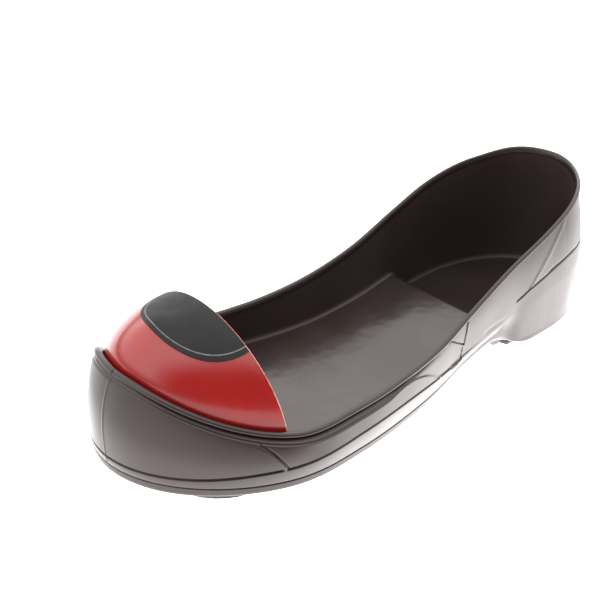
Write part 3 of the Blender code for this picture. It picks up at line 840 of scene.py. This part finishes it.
def make_outsole(outside, inside):
    """The sole: plate, lugs and dots, with its inside floor in a finish of its own, glossier and painted
    paler as a painted sheen.
    """
    sole = mesh_object("outsole_moulded", *sole_plate(), [outside, inside])
    union(sole, mesh_object("lugs", *lug_mesh(), [outside]))
    dots = mesh_object("dots", *tread_dots(), [outside])
    bm = bmesh.new()
    bm.from_mesh(sole.data)
    bm.from_mesh(dots.data)
    bm.to_mesh(sole.data)
    bm.free()
    bpy.data.objects.remove(dots)
    for face in sole.data.polygons:
        level = float(floor_height(face.center.x / MM + CENTRE_X)) * MM
        on_floor = abs(face.center.z - level) < FLOOR_NEAR * MM and face.normal.z > FLOOR_FACING
        face.material_index = 1 if on_floor else 0
    sole.data.shade_smooth()
    sole.data.set_sharp_from_angle(angle=math.radians(SOLE_SHARP))
    return sole


# Mesh of the cap: columns, rows, an extra column near each rear end (in points of the fine outline), the
# width of the pale line along the rear edge, and how near points are made one
CAP_COLUMNS = 181
CAP_WALL_ROWS = 6
CAP_DOME_ROWS = 44
EDGE_COLUMN = 3
EDGE_LINE = 0.4
CAP_WELD = 0.02


def cap_plan(inset_more):
    """The cap in plan from its rear edge round the toe: stations on the outline, and the points."""
    inset = along("rim_in", FINE.station) + rim_thickness(FINE.station) + GAP + inset_more
    flat = FINE.points - FINE.outward * inset[:, None]
    inside = np.flatnonzero(flat[:, 0] >= CAP_REAR)
    first, last = inside[0], inside[-1]
    ends = []
    for outer, inner in ((first - 1, first), (last + 1, last)):
        share = (CAP_REAR - flat[outer, 0]) / (flat[inner, 0] - flat[outer, 0])
        ends.append(between(outer, inner, share))
    even = np.linspace(ends[0], ends[1], CAP_COLUMNS)
    wanted = np.insert(even, (1, -1), (even[0] + EDGE_COLUMN, even[-1] - EDGE_COLUMN))
    number = np.arange(len(flat))
    plan = np.column_stack([np.interp(wanted, number, flat[:, axis]) for axis in (0, 1)])
    return np.interp(wanted, number, FINE.station), plan


def cap_rows(thickness):
    """Rows of the cap's skin from its foot to its crown, where both sides share the spine's points."""
    x, flat = cap_plan(thickness)
    base = floor_height(x) + GAP + thickness
    spring = along("rim_z", x) - CAP_SPRING_BELOW_RIM - thickness
    paired = (x + x[::-1]) / 2.0
    advance = (paired - paired.min()) / (LENGTH - CAP_REAR)
    spine = np.column_stack(
        [CAP_REAR + advance * CAP_SPINE_SHARE * (LENGTH - CAP_REAR), np.full(len(x), CAP_CROWN_Y)]
    )
    crown = CAP_CROWN_Z - thickness - CAP_CROWN_DROP * smooth_step(advance, 0.0, 1.0)
    rows = []
    for share in np.linspace(0.0, 1.0, CAP_WALL_ROWS):
        rows.append(np.column_stack([flat, between(base, spring, share)]))
    # A rib is a superellipse of power CAP_ROUND at its foot, which turns into an ellipse at the crown
    for k in range(1, CAP_DOME_ROWS + 1):
        turn = math.pi / 2 * k / CAP_DOME_ROWS
        power = 2.0 / (CAP_ROUND + (2.0 - CAP_ROUND) * (k / CAP_DOME_ROWS) ** 3)
        plan = between(flat, spine, 1.0 - math.cos(turn) ** power)
        rows.append(np.column_stack([plan, between(spring, crown, math.sin(turn) ** power)]))
    for row in rows:
        rise = (row[:, 2] - spring.min()) / (CAP_CROWN_Z - spring.min())
        row[:, 0] += CAP_REAR_LEAN * np.clip(rise, 0.0, 1.0) * (1.0 - smooth_step(paired, CAP_REAR, LENGTH))
    return rows


def make_cap(paint, edge_paint):
    """The cap as one closed skin: outside, rolled rear edge, inside and flange."""
    outer, inner = cap_rows(0.0), cap_rows(CAP_STEEL)
    rows, columns = len(outer), len(outer[0])
    points = [tuple(p) for row in outer + inner for p in row]
    faces = grid_faces(rows, columns) + grid_faces(rows, columns, first=rows * columns)
    x, flat = cap_plan(CAP_FLANGE)
    bottom = floor_height(x) + GAP
    lip = len(points)
    for lift in (CAP_STEEL, 0.0):
        points += [(*p, z + lift) for p, z in zip(flat, bottom)]
    inner_foot = rows * columns
    for low, high in ((inner_foot, lip), (lip, lip + columns), (lip + columns, 0)):
        faces += [(low + c, low + c + 1, high + c + 1, high + c) for c in range(columns - 1)]
    painted = len(faces)
    for c in (0, columns - 1):
        ends = [r * columns + c for r in range(rows)]
        rolled = range(len(points), len(points) + rows)
        middles = [(np.array(points[end]) + points[end + inner_foot]) / 2.0 for end in ends]
        points += [(x - CAP_ROLL, y, z) for x, y, z in middles]
        for k in range(rows - 1):
            faces.append((ends[k], ends[k + 1], rolled[k + 1], rolled[k]))
            faces.append((rolled[k], rolled[k + 1], ends[k + 1] + inner_foot, ends[k] + inner_foot))
        faces.append((c, rolled[0], inner_foot + c, lip + c, lip + columns + c))
    kinds = [0] * painted + [1] * (len(faces) - painted)
    for face, (a, b, c, d) in enumerate(faces[: (rows - 1) * (columns - 1)]):
        row = a // columns
        end = row * columns if a % columns < columns // 2 else row * columns + columns - 1
        middle = sum(points[corner][0] for corner in (a, b, c, d)) / 4.0
        if middle - points[end][0] < EDGE_LINE:
            kinds[face] = 1
    paints = [paint, edge_paint]
    return mesh_object("toe_cap_enamelled", points, faces, paints, kinds, CAP_SHARP, CAP_WELD)


# Mesh of the label: rings and spokes round the middle of its straight side, and the rings of its line
LABEL_RINGS = 60
LABEL_SPOKES = 72
KEYLINE_RINGS = (54, 55)
ABOVE_ALL = 200.0


def on_cap(cap_tree, x, y):
    """Point and upward normal of the cap below a place in plan, or nearest where a ray slips through."""
    hit, normal, _, _ = cap_tree.ray_cast(Vector((x, y, ABOVE_ALL)), Vector((0.0, 0.0, -1.0)))
    if hit is None:
        hit, normal, _, _ = cap_tree.find_nearest(Vector((x, y, CAP_CROWN_Z)))
    return hit, normal if normal.z > 0 else -normal


def label_skin(cap_tree, rear_edge, lift):
    """Points of one face of the label, ring by ring out from near the middle of its straight side."""
    skin = []
    for ring in range(1, LABEL_RINGS + 1):
        share = ring / LABEL_RINGS
        for spoke in range(LABEL_SPOKES + 1):
            turn = math.pi * spoke / LABEL_SPOKES - math.pi / 2
            across = LABEL_Y + LABEL_HALF * share * math.sin(turn)
            rear = float(np.interp(across, rear_edge[:, 1], rear_edge[:, 0])) + LABEL_BACK
            hit, up = on_cap(cap_tree, rear + LABEL_DEPTH * share * math.cos(turn), across)
            skin.append(tuple(hit + up * lift))
    return skin


def make_label(film, keyline):
    """A blank half-round film that follows the cap's crown, with a thin pale line inside its border."""
    rows = cap_rows(0.0)
    points = [Vector(p) for row in rows for p in row]
    tree = BVHTree.FromPolygons(points, grid_faces(len(rows), len(rows[0])))
    rear_edge = np.array([row[-1] for row in rows] + [row[0] for row in rows[-2::-1]])
    skin = label_skin(tree, rear_edge, LABEL_LIFT) + label_skin(tree, rear_edge, LABEL_LIFT + LABEL_FILM)
    width = LABEL_SPOKES + 1
    side = LABEL_RINGS * width
    faces = grid_faces(LABEL_RINGS, width) + grid_faces(LABEL_RINGS, width, first=side)
    border = [(LABEL_RINGS - 1) * width + k for k in range(width)]
    straight = [r * width + width - 1 for r in range(LABEL_RINGS - 1, -1, -1)]
    straight += [r * width for r in range(LABEL_RINGS)]
    for path in (border, straight):
        faces += [(a, b, b + side, a + side) for a, b in zip(path, path[1:])]
    faces.append(tuple(range(width)))
    faces.append(tuple(side + k for k in range(width)))
    kinds = [0] * len(faces)
    low, high = KEYLINE_RINGS
    top = (LABEL_RINGS - 1 + low) * LABEL_SPOKES
    for face in range(top, top + (high - low) * LABEL_SPOKES):
        kinds[face] = 1
    return mesh_object("toe_label_film", skin, faces, [film, keyline], kinds, LABEL_SHARP)


# Finishes: tone as (noise, dark, light), rough as (noise, low, high), bumps as (noise, strength, metres)
# A noise is its scale, then its detail and stretch if unusual; ends are its values for dark and light
WHITE = (1.0, 1.0, 1.0, 1.0)
SOFT_ENDS = (0.3, 0.7)
CRISP_ENDS = (0.35, 0.65)
GRAIN = ((1500.0,), 0.10, 0.0001)
SCRATCHES = ((60.0, 2.0, (1.0, 22.0, 1.0)), 0.05, 0.0003)
PVC = {"ior": 1.5, "specular_tint": (1.0, 0.91, 0.895, 1.0), "dusty": True}
FINISHES = {
    # Moulded black PVC: a warm brown-black, satin and faintly uneven
    "pvc_outside": {
        "tone": ((22.0,), (0.0125, 0.0068, 0.0063), (0.0190, 0.0106, 0.0099)),
        "rough": ((40.0, 4.0), 0.28, 0.37),
        "bumps": (GRAIN, ((120.0,), 0.05, 0.0006)),
        **PVC,
    },
    # The inner face of the wall: the same PVC, duller, with its colour painted a little paler as painted
    # light on the shaded inside
    "pvc_lining_painted_light": {
        "tone": ((22.0,), (0.0200, 0.0115, 0.0108), (0.0290, 0.0170, 0.0160)),
        "rough": ((40.0, 4.0), 0.50, 0.60),
        "bumps": (GRAIN,),
        **PVC,
    },
    # The inside floor: the same PVC, glossier and a little wavy, with soft smudges and faint scratches, and
    # its colour painted a little paler as a painted sheen
    "pvc_inside_painted_sheen": {
        "tone": ((22.0,), (0.0180, 0.0120, 0.0110), (0.0280, 0.0195, 0.0180)),
        "rough": ((38.0, 4.0), 0.17, 0.29),
        "bumps": (((900.0,), 0.12, 0.0001), SCRATCHES, ((30.0,), 0.35, 0.003)),
        **PVC,
    },
    # Gloss red enamel on steel with a little orange peel
    "red_enamel": {
        "tone": ((30.0,), (0.215, 0.0046, 0.0035), (0.25, 0.0058, 0.0044)),
        "rough": ((90.0,), 0.18, 0.26),
        "bumps": (((420.0,), 0.05, 0.0002),),
        "ior": 1.5,
        "coat_weight": 0.2,
        "coat_roughness": 0.08,
    },
    # The cap's rear edge, where the enamel is thin and pale
    "worn_edge": {
        "tone": ((300.0,), (0.55, 0.10, 0.08), (0.72, 0.42, 0.38)),
        "ends": CRISP_ENDS,
        "rough": ((200.0,), 0.25, 0.4),
        "ior": 1.5,
    },
    # A blank dark grey vinyl film
    "label_film": {
        "tone": ((60.0,), (0.012, 0.011, 0.011), (0.016, 0.015, 0.015)),
        "rough": ((150.0,), 0.42, 0.52),
        "bumps": (((700.0,), 0.04, 0.0001),),
        "ior": 1.25,
    },
    # The label's thin pale line
    "label_keyline": {
        "tone": ((400.0,), (0.10, 0.095, 0.095), (0.16, 0.155, 0.155)),
        "ends": CRISP_ENDS,
        "rough": ((150.0,), 0.34, 0.44),
        "ior": 1.25,
    },
}

# Pale specks of dust on the PVC: how close, how large from full to nothing, and their colour
SPECK_SCALE = 24.0
SPECK_SIZE = (0.008, 0.013)
SPECK_COLOUR = (0.42, 0.39, 0.38, 1.0)


def new_material(name, **sockets):
    """A Principled material with plain values on its sockets."""
    material = bpy.data.materials.new(name)
    material.use_nodes = True
    shader = material.node_tree.nodes["Principled BSDF"]
    for socket, value in sockets.items():
        shader.inputs[socket.replace("_", " ").title().replace("Ior", "IOR")].default_value = value
    return material, material.node_tree, shader


def noise(tree, scale, detail=3.0, stretch=(1.0, 1.0, 1.0)):
    """A noise texture in the row's own metres."""
    place = tree.nodes.new("ShaderNodeTexCoord")
    mapping = tree.nodes.new("ShaderNodeMapping")
    mapping.inputs["Scale"].default_value = stretch
    texture = tree.nodes.new("ShaderNodeTexNoise")
    texture.inputs["Scale"].default_value = scale
    texture.inputs["Detail"].default_value = detail
    tree.links.new(place.outputs["Object"], mapping.inputs["Vector"])
    tree.links.new(mapping.outputs["Vector"], texture.inputs["Vector"])
    return texture.outputs["Fac"]


def ramp(tree, value, ends, dark, light):
    """A colour that goes from dark to light between two ends of a value."""
    node = tree.nodes.new("ShaderNodeValToRGB")
    for element, place, colour in zip(node.color_ramp.elements, ends, (dark, light)):
        element.position = place
        element.color = (*colour, 1.0)
    tree.links.new(value, node.inputs["Fac"])
    return node.outputs["Color"]


def spread(tree, value, low, high, to_low, to_high, path="LINEAR"):
    """Maps a range of a value to another range, evenly or along an S."""
    node = tree.nodes.new("ShaderNodeMapRange")
    node.interpolation_type = path
    for socket, number in zip(("From Min", "From Max", "To Min", "To Max"), (low, high, to_low, to_high)):
        node.inputs[socket].default_value = number
    tree.links.new(value, node.inputs["Value"])
    return node.outputs["Result"]


def with_dust(tree, colour):
    """A colour with rare pale specks."""
    place = tree.nodes.new("ShaderNodeTexCoord")
    specks = tree.nodes.new("ShaderNodeTexVoronoi")
    specks.inputs["Scale"].default_value = SPECK_SCALE
    tree.links.new(place.outputs["Object"], specks.inputs["Vector"])
    pale = spread(tree, specks.outputs["Distance"], *SPECK_SIZE, 1.0, 0.0)
    mix = tree.nodes.new("ShaderNodeMix")
    mix.data_type = "RGBA"
    tree.links.new(pale, mix.inputs["Factor"])
    tree.links.new(colour, mix.inputs["A"])
    mix.inputs["B"].default_value = SPECK_COLOUR
    return mix.outputs["Result"]


def finished(name, tone, rough, bumps=(), ends=SOFT_ENDS, dusty=False, **sockets):
    """A material with softly varying colour and roughness and with stacked bumps."""
    material, tree, shader = new_material(name, **sockets)
    grain, dark, light = tone
    colour = ramp(tree, noise(tree, *grain), ends, dark, light)
    if dusty:
        colour = with_dust(tree, colour)
    tree.links.new(colour, shader.inputs["Base Color"])
    grain, low, high = rough
    tree.links.new(spread(tree, noise(tree, *grain), *SOFT_ENDS, low, high), shader.inputs["Roughness"])
    below = None
    for grain, strength, distance in bumps:
        node = tree.nodes.new("ShaderNodeBump")
        node.inputs["Strength"].default_value = strength
        node.inputs["Distance"].default_value = distance
        tree.links.new(noise(tree, *grain), node.inputs["Height"])
        if below is not None:
            tree.links.new(below, node.inputs["Normal"])
        below = node.outputs["Normal"]
    if below is not None:
        tree.links.new(below, shader.inputs["Normal"])
    return material


# Stage: the floor glows, fading far off to the right as (towards, starts, ends, share that remains), and
# more in pools of light as (middle, reach, full at, glow)
FLOOR_REACH = 6.0
FLOOR_TONE = (0.8, 0.8, 0.8, 1.0)
FLOOR_ROUGHNESS = 0.6
FLOOR_GLOW = 0.35
FLOOR_FADES = ((-0.718, 0.696, 0.0), 0.28, 0.50, 0.12)
FLOOR_POOLS = (
    ((0.07, 0.0), (0.165, 0.12), 0.35, 2.2),
    ((-0.07, 0.09), (0.24, 0.16), 0.85, 4.1),
)

# The surroundings' light: bright above the horizon, apart from a dim stretch low on the outer side
SKY_DIM = 0.22
SKY_BRIGHT = 2.4
SKY_TOWARDS = (-0.2, -0.98, 0.0)
SKY_EDGE = (-0.78, -0.4)
SKY_RISE = (0.0, 0.32)


def facing_share(tree, vector, towards, low, high):
    """How far a vector reaches towards a direction, as an S from 0 at low to 1 at high."""
    facing = tree.nodes.new("ShaderNodeVectorMath")
    facing.operation = "DOT_PRODUCT"
    facing.inputs[1].default_value = Vector(towards).normalized()
    tree.links.new(vector, facing.inputs[0])
    return spread(tree, facing.outputs["Value"], low, high, 0.0, 1.0, "SMOOTHSTEP")


def pale_floor():
    """A plain pale floor that runs out of sight."""
    signs = ((-1, -1), (1, -1), (1, 1), (-1, 1))
    mesh = bpy.data.meshes.new("floor")
    mesh.from_pydata([(x * FLOOR_REACH, y * FLOOR_REACH, 0.0) for x, y in signs], [], [(0, 1, 2, 3)])
    material, tree, shader = new_material(
        "floor_paint", base_color=FLOOR_TONE, roughness=FLOOR_ROUGHNESS, emission_color=WHITE
    )
    place = tree.nodes.new("ShaderNodeTexCoord").outputs["Object"]
    towards, starts, ends, remains = FLOOR_FADES
    beyond = facing_share(tree, place, towards, starts, ends)
    total = spread(tree, beyond, 0.0, 1.0, FLOOR_GLOW, FLOOR_GLOW * remains)
    for middle, reach, full, glow in FLOOR_POOLS:
        mapping = tree.nodes.new("ShaderNodeMapping")
        for axis in (0, 1):
            mapping.inputs["Scale"].default_value[axis] = 1.0 / reach[axis]
            mapping.inputs["Location"].default_value[axis] = -middle[axis] / reach[axis]
        pool = tree.nodes.new("ShaderNodeTexGradient")
        pool.gradient_type = "SPHERICAL"
        tree.links.new(place, mapping.inputs["Vector"])
        tree.links.new(mapping.outputs["Vector"], pool.inputs["Vector"])
        add = tree.nodes.new("ShaderNodeMath")
        light = spread(tree, pool.outputs["Fac"], 0.0, full, 0.0, glow, "SMOOTHSTEP")
        tree.links.new(light, add.inputs[0])
        tree.links.new(total, add.inputs[1])
        total = add.outputs["Value"]
    tree.links.new(total, shader.inputs["Emission Strength"])
    mesh.materials.append(material)
    floor = bpy.data.objects.new("floor", mesh)
    bpy.context.scene.collection.objects.link(floor)
    floor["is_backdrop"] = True


def studio():
    """Soft white light from the bright part of the surroundings."""
    world = bpy.data.worlds.new("studio")
    world.use_nodes = True
    tree = world.node_tree
    background = tree.nodes["Background"]
    background.inputs["Color"].default_value = WHITE
    direction = tree.nodes.new("ShaderNodeTexCoord").outputs["Generated"]
    both = tree.nodes.new("ShaderNodeMath")
    both.operation = "MULTIPLY"
    tree.links.new(facing_share(tree, direction, SKY_TOWARDS, *SKY_EDGE), both.inputs[0])
    tree.links.new(facing_share(tree, direction, (0.0, 0.0, 1.0), *SKY_RISE), both.inputs[1])
    glow = spread(tree, both.outputs["Value"], 0.0, 1.0, SKY_DIM, SKY_DIM + SKY_BRIGHT)
    tree.links.new(glow, background.inputs["Strength"])
    bpy.context.scene.world = world
    bpy.context.scene.view_settings.view_transform = "Standard"


# The photograph's viewpoint: angles in degrees, the point looked at, the distance from it, and the lens
VIEW_AZIMUTH = 135.91
VIEW_ELEVATION = 29.45
VIEW_ROLL = 1.36
VIEW_TARGET = (185.58, -19.67, 40.0)
VIEW_DISTANCE = 650.0
VIEW_LENS = 78.92
VIEW_SENSOR = 36.0


def photo_camera():
    """The camera at the photograph's viewpoint."""
    axes = Matrix.Identity(4)
    for degrees, axis in ((VIEW_AZIMUTH, "Z"), (90.0 - VIEW_ELEVATION, "X"), (VIEW_ROLL, "Z")):
        axes = axes @ Matrix.Rotation(math.radians(degrees), 4, axis)
    camera = bpy.data.objects.new("camera", bpy.data.cameras.new("camera"))
    camera.data.lens = VIEW_LENS
    camera.data.sensor_width = VIEW_SENSOR
    place = Vector(to_row(VIEW_TARGET)) + axes.col[2].xyz * VIEW_DISTANCE * MM
    camera.matrix_world = Matrix.Translation(place) @ axes
    bpy.context.scene.collection.objects.link(camera)
    bpy.context.scene.camera = camera


def dress(piece, node):
    """A piece stands for a CAD node, whose part it hides, and rides on the shoe."""
    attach(piece, "root")
    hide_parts(node)


finish = {name: finished(name, **values) for name, values in FINISHES.items()}
dress(make_upper(finish["pvc_outside"], finish["pvc_lining_painted_light"]), "upper")
dress(make_outsole(finish["pvc_outside"], finish["pvc_inside_painted_sheen"]), "outsole")
dress(make_cap(finish["red_enamel"], finish["worn_edge"]), "toe_cap")
dress(make_label(finish["label_film"], finish["label_keyline"]), "toe_label")
pale_floor()
studio()
photo_camera()

bpy.context.view_layer.update()
boxes = {"cad": CAD_BOX, "visual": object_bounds()}
sizes = {key: [[float(v) for v in corner] for corner in box] for key, box in boxes.items()}
